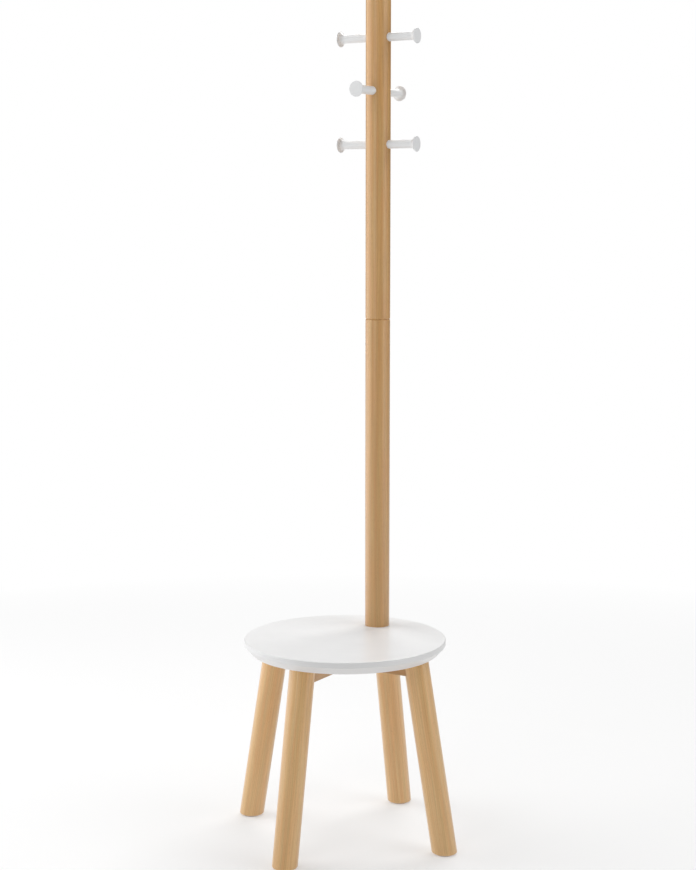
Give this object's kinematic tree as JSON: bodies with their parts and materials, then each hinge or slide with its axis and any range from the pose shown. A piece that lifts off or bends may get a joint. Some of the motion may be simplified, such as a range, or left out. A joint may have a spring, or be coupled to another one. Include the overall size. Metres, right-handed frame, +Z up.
{
  "type": "standing coat rack",
  "caption": "Standing coat rack on a stool base: round white seat on splayed round wooden legs, with a two-section wooden pole and white flared coat pegs.",
  "frame": {"origin": "on the floor, at the middle of the base, straight under the middle of the seat", "axes": "+Z up; -Y is the front; +Y is the back, where the pole stands; +X is the right"},
  "size_m": [0.5062, 0.5062, 1.677],
  "materials": {
    "white_lacquer": "satin white lacquer on a fibreboard seat",
    "peg_white": "satin white lacquer on turned wood",
    "pole_wood": "clear matt lacquer on light beech",
    "leg_wood": "clear matt lacquer on light beech",
    "rail_wood": "clear matt lacquer on light beech",
    "dowel_wood": "bare beech",
    "felt": "pressed felt",
    "zinc_steel": "bright zinc plate",
    "insert_brass": "plain turned brass"
  },
  "bodies": {
    "root": {"seat": "white_lacquer", "rail_front_back": "rail_wood", "rail_left_right": "rail_wood", "leg_front": "leg_wood", "leg_back": "leg_wood", "leg_left": "leg_wood", "leg_right": "leg_wood", "foot_pad_front": "felt", "foot_pad_back": "felt", "foot_pad_left": "felt", "foot_pad_right": "felt", "pole_lower": "pole_wood", "pole_upper": "pole_wood", "peg_upper_left": "peg_white", "peg_upper_right": "peg_white", "peg_middle_front": "peg_white", "peg_middle_back": "peg_white", "peg_lower_left": "peg_white", "peg_lower_right": "peg_white", "seat_bolts": "zinc_steel", "seat_bolt_washers": "zinc_steel", "seat_inserts": "insert_brass", "leg_dowels": "dowel_wood", "pole_base_bolt": "zinc_steel", "pole_base_washer": "zinc_steel", "pole_base_insert": "insert_brass", "pole_base_pins": "zinc_steel", "pole_joint_bolt": "zinc_steel", "pole_joint_insert": "insert_brass", "peg_studs": "zinc_steel", "peg_inserts": "insert_brass"}
  },
  "joints": []
}
